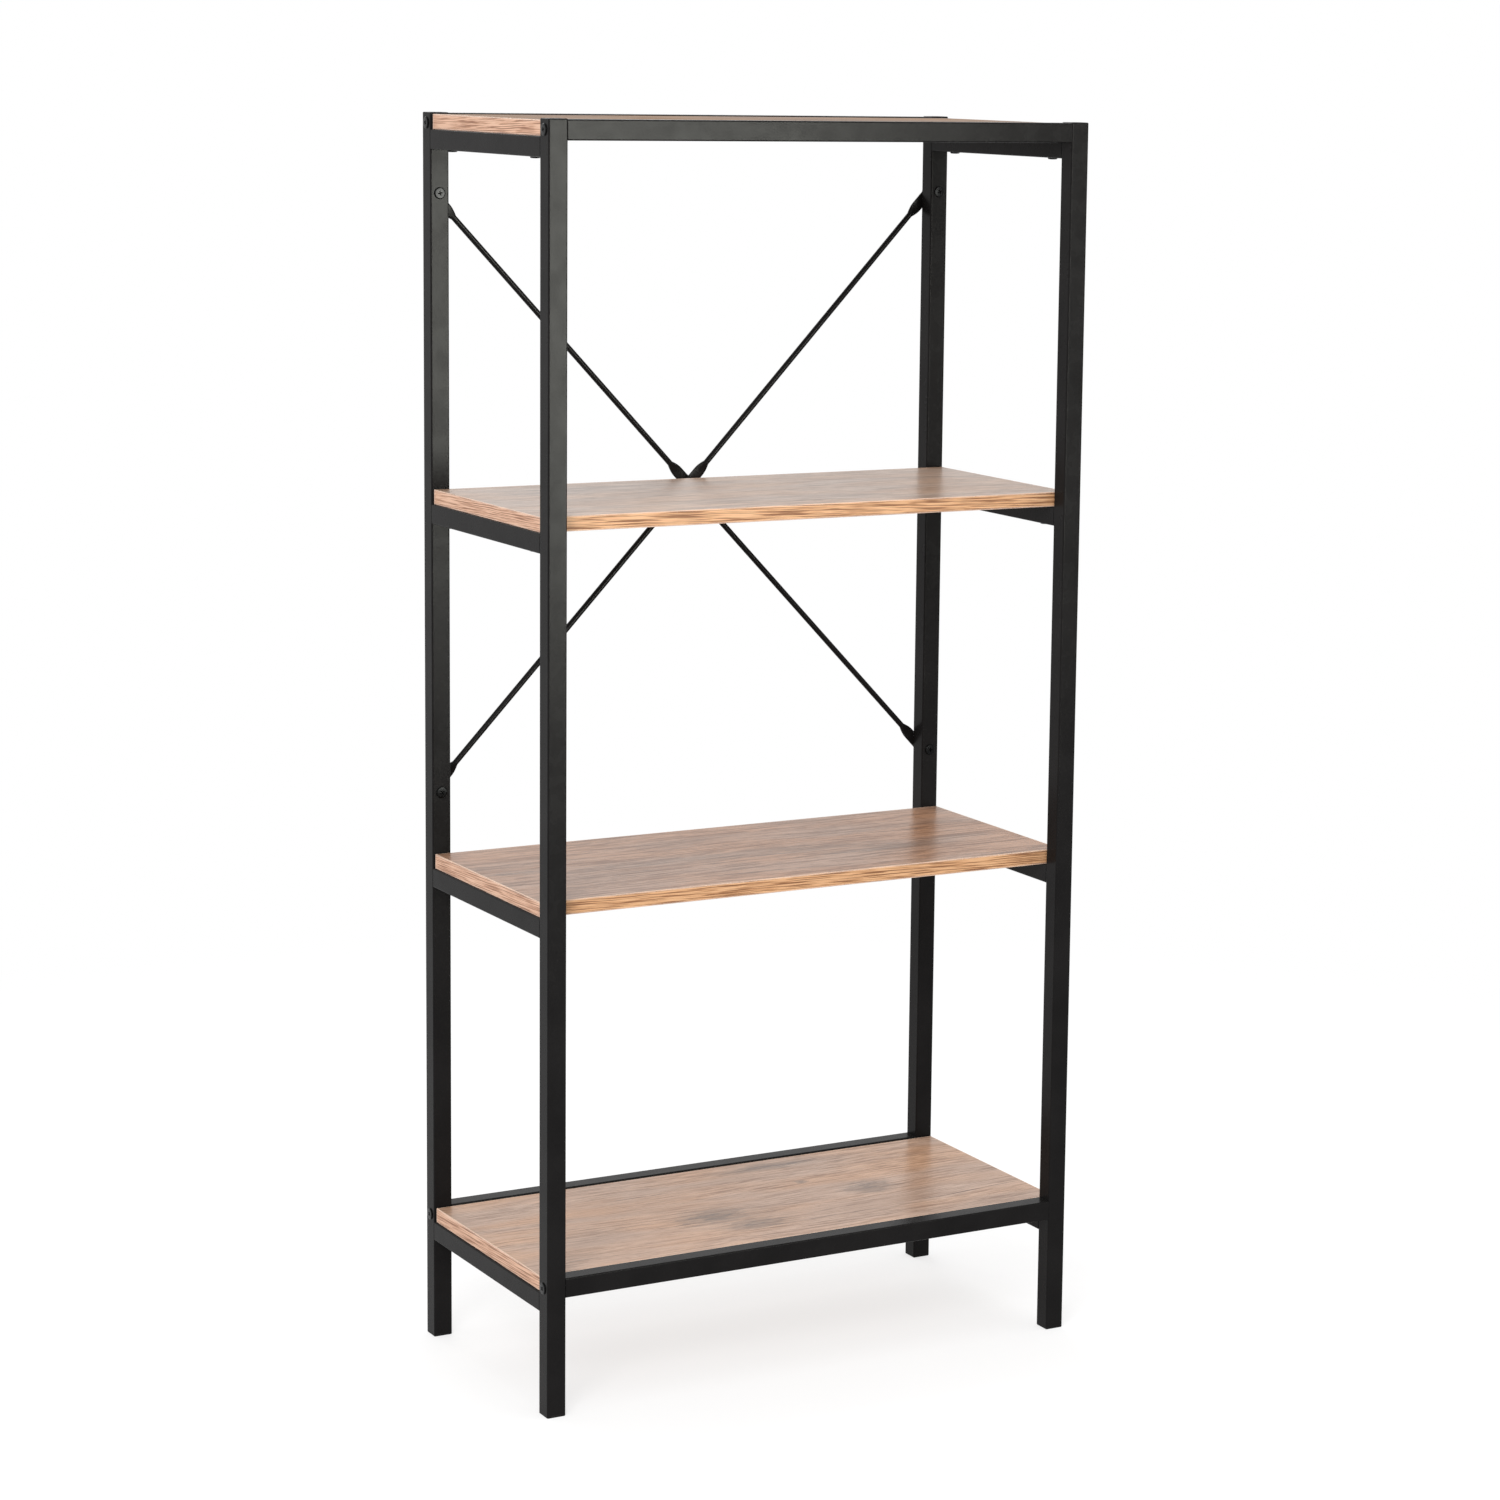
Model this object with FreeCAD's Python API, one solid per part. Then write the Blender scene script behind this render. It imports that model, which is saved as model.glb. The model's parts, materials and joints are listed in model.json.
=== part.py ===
import FreeCAD, Part
import math
import os

# Four-tier open shelving unit: two welded side frames of square tube, joined by four bolted long rails,
# with four edge-banded boards and a bolted back brace. +X is to the right, +Y to the rear, +Z up.
# The origin is on the floor, under the middle of the whole box. Millimetres.

# Frame
width = 600.0            # over the outer faces of the legs
depth = 300.0            # over the front and rear faces of the legs
height = 1270.0          # floor to the top of the leg caps
tube = 20.0              # side of the square tube
tube_wall = 1.2
tube_corner = 1.5        # outside corner radius of the tube
tube_inner_corner = 0.4  # inside corner radius of the tube
low_rail_top = 141.0     # floor to the top of the bottom long rails
cap_proud = 0.6          # leg caps stand this much above the top long rails

# Boards
board_thickness = 15.0
board_gap = 2.0          # room between a board and the legs, the rails and the outer side faces
board_recess = 1.2       # top and bottom boards lie this much below the tops of the long rails
band_thickness = 1.0     # edge band on all four sides
band_round = 0.5         # rounding of the band's long edges
tier_names = ["bottom", "lower", "upper", "top"]

# Leg caps and foot plugs
cap_lip = 1.6            # thickness of the cap above the tube's end
foot_lip = 2.0           # thickness of the foot below the tube's end
lip_round = 1.2          # rounding of the outer edge of a lip
foot_stem = 12.0         # depth of the foot's stem in the leg
stem_wall = 1.5
stem_clearance = 0.1     # room between a stem and the tube, on each side
cap_bolt_gap = 1.0       # room between a cap's stem and the rail bolt under it

# Bolts, nuts and screws
bolt_diameter = 6.0
hole_room = 0.5          # holes in the tubes and rods over the bolt or screw in them
thread_clearance = 0.05  # between a bolt or screw and its thread, on the radius
head_diameter = 12.0
head_height = 1.4
head_rim = 0.4           # height of the head's straight side
head_top = 9.6           # diameter of the head's nearly flat top
head_rise = 0.15         # crown of that top
recess_length = 5.0      # cross recess: length, width and depth of its two slots
recess_width = 1.4
recess_depth = 2.0
nut_flats = 10.0
nut_height = 5.0
bolt_tail = 2.0          # bolt past its nut
nut_block_length = 10.0  # threaded block in the end of a long rail
block_clearance = 0.05   # between the block and the tube, on each side
screw_diameter = 4.0
screw_head_diameter = 10.0
screw_head_height = 2.0
screw_head_rim = 0.5
screw_head_top = 7.4
screw_head_rise = 0.25
screw_cover = 5.0        # board left above the screw's tip
screw_tip_room = 1.0     # pilot hole past the screw's tip
screw_from_leg = 32.0    # leg's inner face to the screw's axis
screw_recess_length = 4.4
screw_recess_depth = 1.0

# Back brace
brace_inset = 63.5       # board's face to the axis of the brace bolt nearest to it
rod_diameter = 6.0
tongue_width = 12.0      # flattened end of a rod
tongue_thickness = 2.4
tongue_squareness = 5.0  # power of the rounded section at the flat, 2 being an ellipse
leg_flat = 22.0          # hole to the end of the flat, at the leg
middle_flat = 16.0       # hole to the end of the flat, at the middle
shoulder_length = 13.0   # flat to the round rod
shoulder_steps = 6       # spans of a shoulder between its sections
section_points = 32      # points that a rod's section passes through
brace_order = ["upper_right", "lower_left", "upper_left", "lower_right"]  # at the middle, front to rear

# Levels and planes worked out from the sizes above
leg_x = width / 2 - tube / 2
leg_y = depth / 2 - tube / 2
top_rail_top = height - cap_proud
rail_levels = {"top": top_rail_top - tube / 2, "bottom": low_rail_top - tube / 2}
lowest_underside = low_rail_top - board_recess - board_thickness
highest_underside = top_rail_top - board_recess - board_thickness
tier_pitch = (highest_underside - lowest_underside) / (len(tier_names) - 1)
undersides = {name: lowest_underside + i * tier_pitch for i, name in enumerate(tier_names)}
bolt_hole = bolt_diameter + hole_room
screw_hole = screw_diameter + hole_room
screw_bite = board_thickness - screw_cover
screw_y = depth / 2 - tube - screw_from_leg
brace_high = undersides["top"] - brace_inset
brace_low = undersides["lower"] + board_thickness + brace_inset
brace_middle = (brace_high + brace_low) / 2
stack_depth = len(brace_order) * tongue_thickness
stack_front = depth / 2 + tongue_thickness / 2 - stack_depth / 2
stack_rear = stack_front + stack_depth
rear_reach = stack_rear + nut_height + bolt_tail
middle_y = (depth / 2 - rear_reach) / 2  # moves the frame forwards, so that the whole box is centred

Vector = FreeCAD.Vector
axis_x = Vector(1, 0, 0)
axis_y = Vector(0, 1, 0)
axis_z = Vector(0, 0, 1)
corner_signs = {"front_left": (-1, -1), "front_right": (1, -1), "rear_left": (-1, 1), "rear_right": (1, 1)}
side_signs = {"left": -1, "right": 1}
row_signs = {"front": -1, "rear": 1}

os.makedirs("parts", exist_ok=True)


def save(name, solids):
    """One STEP file for a node; several solids in it are a group of separate pieces."""
    placed = [solid.translated(Vector(0, middle_y, 0)) for solid in solids]
    shape = placed[0] if len(placed) == 1 else Part.makeCompound(placed)
    shape.exportStep("parts/" + name + ".step")
    print(name, len(placed), round(shape.Volume, 1))


def turned(shape, direction, start):
    """The shape, built along +Z from the origin, laid along a direction from a start point."""
    shape.Placement = FreeCAD.Placement(start, FreeCAD.Rotation(axis_z, direction))
    return shape


def rounded_square(side, radius):
    """Closed wire of a square with round corners, on the XY plane and centred on the Z axis."""
    half = side / 2
    flat = half - radius
    diagonal = flat + radius * math.sqrt(0.5)
    edges = []
    for quarter in range(4):
        line = Part.makeLine(Vector(half, -flat, 0), Vector(half, flat, 0))
        arc = Part.Arc(Vector(half, flat, 0), Vector(diagonal, diagonal, 0), Vector(flat, half, 0)).toShape()
        for edge in (line, arc):
            edges.append(edge.rotated(Vector(0, 0, 0), axis_z, 90 * quarter))
    return Part.Wire(Part.__sortEdges__(edges))


def square_tube(length):
    inner = tube - 2 * tube_wall
    outside = Part.Face(rounded_square(tube, tube_corner)).extrude(Vector(0, 0, length))
    inside = Part.Face(rounded_square(inner, tube_inner_corner)).extrude(Vector(0, 0, length))
    return outside.cut(inside)


def drilled(shape, diameter, start, direction, length):
    return shape.cut(Part.makeCylinder(diameter / 2, length, start, direction))


def pan_head(diameter, full_height, rim, top_diameter, rise):
    """Round head on the XY plane: a straight rim, a rounded shoulder and a slightly crowned top."""
    radius = diameter / 2
    top = top_diameter / 2
    brow = full_height - rise
    bend = math.sqrt(0.5)
    shoulder = Vector(top + (radius - top) * bend, 0, rim + (brow - rim) * bend)
    ball = (top ** 2 + rise ** 2) / (2 * rise)
    half_angle = math.asin(top / ball) / 2
    middle = Vector(ball * math.sin(half_angle), 0, full_height - ball + ball * math.cos(half_angle))
    outline = [
        Part.makeLine(Vector(0, 0, 0), Vector(radius, 0, 0)),
        Part.makeLine(Vector(radius, 0, 0), Vector(radius, 0, rim)),
        Part.Arc(Vector(radius, 0, rim), shoulder, Vector(top, 0, brow)).toShape(),
        Part.Arc(Vector(top, 0, brow), middle, Vector(0, 0, full_height)).toShape(),
        Part.makeLine(Vector(0, 0, full_height), Vector(0, 0, 0)),
    ]
    return Part.Face(Part.Wire(outline)).revolve(Vector(0, 0, 0), axis_z, 360)


def cross_recess(length, slot, deep, top):
    slots = []
    for across, along in ((length, slot), (slot, length)):
        slots.append(Part.makeBox(across, along, deep, Vector(-across / 2, -along / 2, top - deep)))
    return slots[0].fuse(slots[1])


def fastener(head, shank_diameter, shank_length):
    """Head above the XY plane, shank below it."""
    shank = Part.makeCylinder(shank_diameter / 2, shank_length, Vector(0, 0, -shank_length))
    return head.fuse(shank).removeSplitter()


def pan_bolt(length):
    bolt = fastener(pan_head(head_diameter, head_height, head_rim, head_top, head_rise), bolt_diameter, length)
    return bolt.cut(cross_recess(recess_length, recess_width, recess_depth, head_height))


def board_screw():
    head = pan_head(screw_head_diameter, screw_head_height, screw_head_rim, screw_head_top, screw_head_rise)
    screw = fastener(head, screw_diameter, tube + screw_bite)
    return screw.cut(cross_recess(screw_recess_length, recess_width, screw_recess_depth, screw_head_height))


def hex_nut():
    corner = nut_flats / math.sqrt(3)
    angles = [i * math.pi / 3 for i in range(6)]
    points = [Vector(corner * math.cos(a), corner * math.sin(a), 0) for a in angles]
    nut = Part.Face(Part.makePolygon(points + points[:1])).extrude(Vector(0, 0, nut_height))
    return drilled(nut, bolt_diameter + 2 * thread_clearance, Vector(0, 0, 0), axis_z, nut_height)


def plug(lip, stem):
    """Lip on the XY plane with its outer edge rounded, and a hollow stem below the plane."""
    body = Part.Face(rounded_square(tube, tube_corner)).extrude(Vector(0, 0, lip))
    rim = [edge for edge in body.Edges if edge.BoundBox.ZMin > lip / 2]
    body = body.makeFillet(lip_round, rim)
    outer = tube - 2 * tube_wall - 2 * stem_clearance
    sleeve = Part.Face(rounded_square(outer, tube_inner_corner)).extrude(Vector(0, 0, -stem))
    hollow = Part.Face(rounded_square(outer - 2 * stem_wall, tube_inner_corner)).extrude(Vector(0, 0, -stem))
    return body.fuse(sleeve.cut(hollow)).removeSplitter()


def make_legs():
    tube_bottom = foot_lip
    tube_length = height - cap_lip - foot_lip
    cap_stem = height - cap_lip - (rail_levels["top"] + bolt_diameter / 2 + cap_bolt_gap)
    for name, (sx, sy) in corner_signs.items():
        x = sx * leg_x
        y = sy * leg_y
        leg = turned(square_tube(tube_length), axis_z, Vector(x, y, tube_bottom))
        for level in rail_levels.values():
            leg = drilled(leg, bolt_hole, Vector(x - tube, y, level), axis_x, 2 * tube)
        if sy > 0:
            for level in (brace_low, brace_high):
                leg = drilled(leg, bolt_hole, Vector(x, y - tube, level), axis_y, 2 * tube)
        save(name + "_leg", [leg])
        save(name + "_leg_cap", [turned(plug(cap_lip, cap_stem), axis_z, Vector(x, y, height - cap_lip))])
        save(name + "_foot", [turned(plug(foot_lip, foot_stem), -axis_z, Vector(x, y, foot_lip))])


def make_side_rails():
    length = depth - 2 * tube
    for tier, underside in undersides.items():
        for side, sx in side_signs.items():
            rail = turned(square_tube(length), axis_y, Vector(sx * leg_x, -length / 2, underside - tube / 2))
            for sy in row_signs.values():
                foot_of_hole = Vector(sx * leg_x, sy * screw_y, underside - 2 * tube)
                rail = drilled(rail, screw_hole, foot_of_hole, axis_z, 3 * tube)
            save(side + "_" + tier + "_side_rail", [rail])


def make_long_rails():
    length = width - 2 * tube
    block_side = tube - 2 * tube_wall - 2 * block_clearance
    for level_name, level in rail_levels.items():
        for row, sy in row_signs.items():
            y = sy * leg_y
            rail = turned(square_tube(length), axis_x, Vector(-length / 2, y, level))
            save(level_name + "_" + row + "_rail", [rail])
            blocks = []
            for sx in side_signs.values():
                outline = Part.Face(rounded_square(block_side, tube_inner_corner))
                block = outline.extrude(Vector(0, 0, nut_block_length))
                thread = bolt_diameter + 2 * thread_clearance
                block = drilled(block, thread, Vector(0, 0, 0), axis_z, nut_block_length)
                blocks.append(turned(block, axis_x * -sx, Vector(sx * length / 2, y, level)))
            save(level_name + "_" + row + "_rail_nut_blocks", blocks)
        for side, sx in side_signs.items():
            bolts = []
            for sy in row_signs.values():
                bolt = pan_bolt(tube + nut_block_length)
                bolts.append(turned(bolt, axis_x * sx, Vector(sx * width / 2, sy * leg_y, level)))
            save(side + "_" + level_name + "_rail_bolts", bolts)


def band_strip(length):
    """Edge band along +X: flat against the board at y = 0, rounded along its outer edges."""
    half = board_thickness / 2
    outer = -band_thickness
    bend = outer + band_round
    flat = half - band_round
    slant = band_round * math.sqrt(0.5)
    upper = Part.Arc(Vector(0, outer, flat), Vector(0, bend - slant, flat + slant), Vector(0, bend, half))
    lower = Part.Arc(Vector(0, bend, -half), Vector(0, bend - slant, -flat - slant), Vector(0, outer, -flat))
    outline = [
        Part.makeLine(Vector(0, 0, -half), Vector(0, 0, half)),
        Part.makeLine(Vector(0, 0, half), Vector(0, bend, half)),
        upper.toShape(),
        Part.makeLine(Vector(0, outer, flat), Vector(0, outer, -flat)),
        lower.toShape(),
        Part.makeLine(Vector(0, bend, -half), Vector(0, 0, -half)),
    ]
    strip = Part.Face(Part.Wire(Part.__sortEdges__(outline))).extrude(Vector(length, 0, 0))
    return strip.translated(Vector(-length / 2, 0, 0))


def make_boards():
    core_x = width - 2 * board_gap - 2 * band_thickness
    core_y = depth - 2 * tube - 2 * board_gap - 2 * band_thickness
    pilot = screw_diameter + 2 * thread_clearance
    pilot_depth = screw_bite + screw_tip_room
    for tier, underside in undersides.items():
        core = Part.makeBox(core_x, core_y, board_thickness, Vector(-core_x / 2, -core_y / 2, underside))
        screws = []
        for sx in side_signs.values():
            for sy in row_signs.values():
                place = Vector(sx * leg_x, sy * screw_y, underside)
                core = drilled(core, pilot, place, axis_z, pilot_depth)
                screws.append(turned(board_screw(), -axis_z, place - Vector(0, 0, tube)))
        save(tier + "_board", [core])
        save(tier + "_board_screws", screws)
        bands = []
        for quarter in range(4):
            across = quarter % 2 == 1
            length = core_y if across else core_x + 2 * band_thickness
            reach = core_x / 2 if across else core_y / 2
            strip = band_strip(length).translated(Vector(0, -reach, underside + board_thickness / 2))
            bands.append(strip.rotated(Vector(0, 0, 0), axis_z, 90 * quarter))
        save(tier + "_board_edge_bands", bands)


def rod_section(x, y, half_thickness, half_width, power):
    """Closed smooth section across a rod: a superellipse, |y/a|^n + |z/b|^n = 1."""
    points = []
    for i in range(section_points):
        angle = 2 * math.pi * i / section_points
        c = math.cos(angle)
        s = math.sin(angle)
        dy = math.copysign(abs(c) ** (2 / power), c) * half_thickness
        dz = math.copysign(abs(s) ** (2 / power), s) * half_width
        points.append(Vector(x, y + dy, dz))
    curve = Part.BSplineCurve()
    curve.interpolate(Points=points, PeriodicFlag=True)
    return Part.Wire(curve.toShape())


def flattened(share):
    """Half thickness, half width and power of a rod's section, from round at 0 to flat at 1."""
    round_half = rod_diameter / 2
    half_thickness = round_half + (tongue_thickness / 2 - round_half) * share
    half_width = round_half + (tongue_width / 2 - round_half) * share
    return half_thickness, half_width, 2 + (tongue_squareness - 2) * share


def flattened_end(x, y, inward, flat):
    """Sections of a rod from the eye at x to the round: it narrows slowly at first, then fast at the neck."""
    sections = [rod_section(x + inward * tongue_width / 2, y, *flattened(1))]
    for i in range(shoulder_steps + 1):
        share = math.cos(math.pi / 2 * i / shoulder_steps)
        along = flat + shoulder_length * i / shoulder_steps
        sections.append(rod_section(x + inward * along, y, *flattened(share)))
    return sections


def eye(x, y, inward):
    """Round end of a flattened rod: a plate with a hole at x, cut square where the rod goes on."""
    half = tongue_width / 2
    base = Vector(x, y - tongue_thickness / 2, 0)
    corner = Vector(min(x, x + inward * half), y - tongue_thickness / 2, -half)
    plate = Part.makeCylinder(half, tongue_thickness, base, axis_y)
    plate = plate.fuse(Part.makeBox(half, tongue_thickness, tongue_width, corner))
    return drilled(plate, bolt_hole, base, axis_y, tongue_thickness)


def brace_rod(sx, leg_level, layer):
    """Rod from a rear leg to the middle of the brace, built along +X and then tilted into place."""
    span = Vector(-sx * leg_x, 0, brace_middle - leg_level)
    length = span.Length
    leg_end = depth / 2 + tongue_thickness / 2
    middle_end = stack_front + layer * tongue_thickness + tongue_thickness / 2
    sections = flattened_end(0, leg_end, 1, leg_flat)
    sections += reversed(flattened_end(length, middle_end, -1, middle_flat))
    bar = Part.makeLoft(sections, True, True)
    rod = bar.fuse([eye(0, leg_end, 1), eye(length, middle_end, -1)]).removeSplitter()
    rod.Placement = FreeCAD.Placement(Vector(sx * leg_x, 0, leg_level), FreeCAD.Rotation(axis_x, span))
    return rod


def make_brace():
    ends = {"upper": brace_high, "lower": brace_low}
    leg_bolts = []
    leg_nuts = []
    for layer, name in enumerate(brace_order):
        end, side = name.split("_")
        level = ends[end]
        sx = side_signs[side]
        save(name + "_brace_rod", [brace_rod(sx, level, layer)])
        bolt = pan_bolt(tube + tongue_thickness + nut_height + bolt_tail)
        leg_bolts.append(turned(bolt, -axis_y, Vector(sx * leg_x, depth / 2 - tube, level)))
        leg_nuts.append(turned(hex_nut(), axis_y, Vector(sx * leg_x, depth / 2 + tongue_thickness, level)))
    save("brace_leg_bolts", leg_bolts)
    save("brace_leg_nuts", leg_nuts)
    middle_bolt = pan_bolt(stack_depth + nut_height + bolt_tail)
    save("brace_middle_bolt", [turned(middle_bolt, -axis_y, Vector(0, stack_front, brace_middle))])
    save("brace_middle_nut", [turned(hex_nut(), axis_y, Vector(0, stack_rear, brace_middle))])


make_legs()
make_side_rails()
make_long_rails()
make_boards()
make_brace()
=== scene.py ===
import json
import math

import bpy
import numpy as np
from mathutils import Matrix, Vector

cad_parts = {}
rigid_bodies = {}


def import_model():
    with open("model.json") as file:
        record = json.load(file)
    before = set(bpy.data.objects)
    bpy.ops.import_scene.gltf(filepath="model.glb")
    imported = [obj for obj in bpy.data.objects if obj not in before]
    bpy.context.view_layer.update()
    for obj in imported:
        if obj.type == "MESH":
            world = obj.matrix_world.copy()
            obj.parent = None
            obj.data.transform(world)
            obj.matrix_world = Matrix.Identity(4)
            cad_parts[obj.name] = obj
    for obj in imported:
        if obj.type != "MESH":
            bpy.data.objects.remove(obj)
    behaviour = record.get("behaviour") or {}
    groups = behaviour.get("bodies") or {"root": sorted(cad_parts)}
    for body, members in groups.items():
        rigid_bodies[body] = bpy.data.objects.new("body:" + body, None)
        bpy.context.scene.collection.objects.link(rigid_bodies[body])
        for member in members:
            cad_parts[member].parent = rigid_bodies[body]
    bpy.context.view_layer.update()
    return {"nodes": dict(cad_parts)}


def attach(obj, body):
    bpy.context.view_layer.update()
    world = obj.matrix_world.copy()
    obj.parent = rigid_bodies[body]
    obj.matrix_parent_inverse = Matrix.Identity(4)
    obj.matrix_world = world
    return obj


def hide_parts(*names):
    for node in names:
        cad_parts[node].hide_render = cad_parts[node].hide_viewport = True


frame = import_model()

scene = bpy.context.scene
scene.view_settings.view_transform = "Standard"
nodes = frame["nodes"]
print("frame loaded:", len(nodes), "CAD nodes")


# small helpers for the shader trees

def newMaterial(name):
    # an empty tree with one Principled shader on its output
    material = bpy.data.materials.new(name)
    material.use_nodes = True
    tree = material.node_tree
    tree.nodes.clear()
    shader = tree.nodes.new("ShaderNodeBsdfPrincipled")
    output = tree.nodes.new("ShaderNodeOutputMaterial")
    tree.links.new(shader.outputs[0], output.inputs["Surface"])
    return material, tree, shader


def addNode(tree, kind, inputs=None, **settings):
    # settings first, then each input is linked when it gets a socket and set when it gets a value
    node = tree.nodes.new("ShaderNode" + kind)
    for key, value in settings.items():
        setattr(node, key, value)
    for key, value in (inputs or {}).items():
        if isinstance(value, bpy.types.NodeSocket):
            tree.links.new(value, node.inputs[key])
        else:
            node.inputs[key].default_value = value
    return node


def calc(tree, operation, *values):
    return addNode(tree, "Math", dict(enumerate(values)), operation=operation).outputs[0]


def objectPoint(tree):
    return addNode(tree, "TexCoord").outputs["Object"]


def scaled(tree, point, scale, shift=(0, 0, 0)):
    return addNode(tree, "Mapping", {"Vector": point, "Scale": scale, "Location": shift}).outputs[0]


def noise(tree, point, scale=1.0, detail=2.0, rough=0.5):
    inputs = {"Vector": point, "Scale": scale, "Detail": detail, "Roughness": rough}
    return addNode(tree, "TexNoise", inputs).outputs["Fac"]


def fade(tree, value, low, high, toLow=0.0, toHigh=1.0):
    # smooth step from toLow at low to toHigh at high
    inputs = {"Value": value, "From Min": low, "From Max": high, "To Min": toLow, "To Max": toHigh}
    return addNode(tree, "MapRange", inputs, interpolation_type="SMOOTHSTEP").outputs[0]


def mixColour(tree, factor, first, second, blend="MIX"):
    node = addNode(tree, "Mix", {0: factor, 6: first, 7: second}, data_type="RGBA", blend_type=blend)
    return node.outputs[2]


def dot(tree, first, second):
    return addNode(tree, "VectorMath", {0: first, 1: second}, operation="DOT_PRODUCT").outputs["Value"]


def ramp(tree, value, stops):
    # colour stops from dark to light
    node = addNode(tree, "ValToRGB", {"Fac": value})
    elements = node.color_ramp.elements
    while len(elements) < len(stops):
        elements.new(0.5)
    for element, (place, colour) in zip(elements, stops):
        element.position = place
        element.color = (*colour, 1)
    return node.outputs["Color"]


def edgeMask(tree, radius):
    # how far the rounded-off normal turns from the true one: 0 on flats, 1 on sharp edges
    soft = addNode(tree, "Bevel", {"Radius": radius}, samples=6).outputs[0]
    true = addNode(tree, "NewGeometry").outputs["Normal"]
    return fade(tree, dot(tree, soft, true), 0.98, 0.8)


def bump(tree, shader, height, distance, strength=1.0):
    inputs = {"Height": height, "Distance": distance, "Strength": strength}
    tree.links.new(addNode(tree, "Bump", inputs).outputs[0], shader.inputs["Normal"])


def roughness(tree, shader, value, low, high):
    # the middle of a noise, 0.3 to 0.7, runs from low to high
    tree.links.new(fade(tree, value, 0.3, 0.7, low, high), shader.inputs["Roughness"])


def opaque(colour):
    return (*colour, 1)


# black coat of the tubes and rods: sprayed skin with a fine orange peel, rubbed a little on the corners

coatLook = dict(deep=(0.0098, 0.0091, 0.0091), pale=(0.0140, 0.0131, 0.0130), rub=(0.032, 0.031, 0.030),
                roughLow=0.23, roughHigh=0.30, specular=0.047, peelScale=850, peelHeight=0.00010)


def coatMaterial(name, look):
    material, tree, shader = newMaterial(name)
    point = objectPoint(tree)
    cloud = noise(tree, point, 14, 4, 0.6)
    peel = noise(tree, point, look["peelScale"], 2, 0.5)
    edge = edgeMask(tree, 0.0016)
    patchy = fade(tree, noise(tree, point, 160, 3, 0.6), 0.45, 0.75)
    rubbed = calc(tree, "MULTIPLY", edge, patchy)
    base = mixColour(tree, fade(tree, cloud, 0.3, 0.7), opaque(look["deep"]), opaque(look["pale"]))
    base = mixColour(tree, rubbed, base, opaque(look["rub"]))
    tree.links.new(base, shader.inputs["Base Color"])
    mottle = noise(tree, point, 45, 3, 0.55)
    roughness(tree, shader, mottle, look["roughLow"], look["roughHigh"])
    shader.inputs["Specular IOR Level"].default_value = look["specular"]
    bump(tree, shader, peel, look["peelHeight"], 0.35)
    return material


frameCoat = coatMaterial("frameCoat", coatLook)

# leg caps and feet: moulded black plastic, a little more matt and with a finer spark texture
plasticLook = dict(coatLook, roughLow=0.36, roughHigh=0.46, peelScale=1600, peelHeight=0.00006)
capPlastic = coatMaterial("capPlastic", plasticLook)

# black-coated bolts, nuts and screws: a thin metal finish, brighter where tools and handling rub it
fastenerLook = dict(deep=(0.004, 0.004, 0.0042), pale=(0.008, 0.008, 0.0084), rub=(0.05, 0.049, 0.047),
                    roughLow=0.20, roughHigh=0.30, specular=0.2, metallic=0.85)


def fastenerMaterial(name, look):
    material, tree, shader = newMaterial(name)
    point = objectPoint(tree)
    cloud = noise(tree, point, 420, 3, 0.6)
    edge = edgeMask(tree, 0.0005)
    patchy = fade(tree, noise(tree, point, 900, 2, 0.6), 0.4, 0.7)
    rubbed = calc(tree, "MULTIPLY", edge, patchy)
    # the pieces carry, per point, how much of the pale tone it gets: 1 on the head's top, 0 in the recess as
    # painted shade, fading down the shoulder to a painted dark ring
    shineAndPaintedShade = addNode(tree, "Attribute", attribute_name="shineAndPaintedShade").outputs["Fac"]
    shineAndPaintedShade = calc(tree, "MULTIPLY", shineAndPaintedShade, fade(tree, cloud, 0.3, 0.7, 0.75, 1.0))
    base = mixColour(tree, shineAndPaintedShade, opaque(look["deep"]), opaque(look["pale"]))
    base = mixColour(tree, calc(tree, "MULTIPLY", rubbed, shineAndPaintedShade), base, opaque(look["rub"]))
    tree.links.new(base, shader.inputs["Base Color"])
    roughness(tree, shader, cloud, look["roughHigh"], look["roughLow"])
    shader.inputs["Metallic"].default_value = look["metallic"]
    shader.inputs["Specular IOR Level"].default_value = look["specular"]
    bump(tree, shader, noise(tree, point, 2600, 2), 0.00002, 0.4)
    return material


fastenerBlack = fastenerMaterial("fastenerBlack", fastenerLook)

# plain steel blocks in the rail ends: milled faces with fine parallel tool lines
steelLook = dict(deep=(0.36, 0.36, 0.37), pale=(0.52, 0.52, 0.53), arris=(0.66, 0.66, 0.66), roughLow=0.28,
                 roughHigh=0.42)


def steelMaterial(name, look):
    material, tree, shader = newMaterial(name)
    point = objectPoint(tree)
    lines = noise(tree, scaled(tree, point, (250, 2600, 2600)), 1, 3, 0.6)
    base = mixColour(tree, lines, opaque(look["deep"]), opaque(look["pale"]))
    base = mixColour(tree, edgeMask(tree, 0.0006), base, opaque(look["arris"]))
    tree.links.new(base, shader.inputs["Base Color"])
    roughness(tree, shader, lines, look["roughLow"], look["roughHigh"])
    shader.inputs["Metallic"].default_value = 1.0
    bump(tree, shader, lines, 0.00003, 0.5)
    return material


plainSteel = steelMaterial("plainSteel", steelLook)
print("frame materials made")


# wood print of the board faces, with the grain along X, in metres: a crack runs from (x, y) to (x, y), and a
# patch is the x, y of a smoky knot and its reach in x and y

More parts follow.
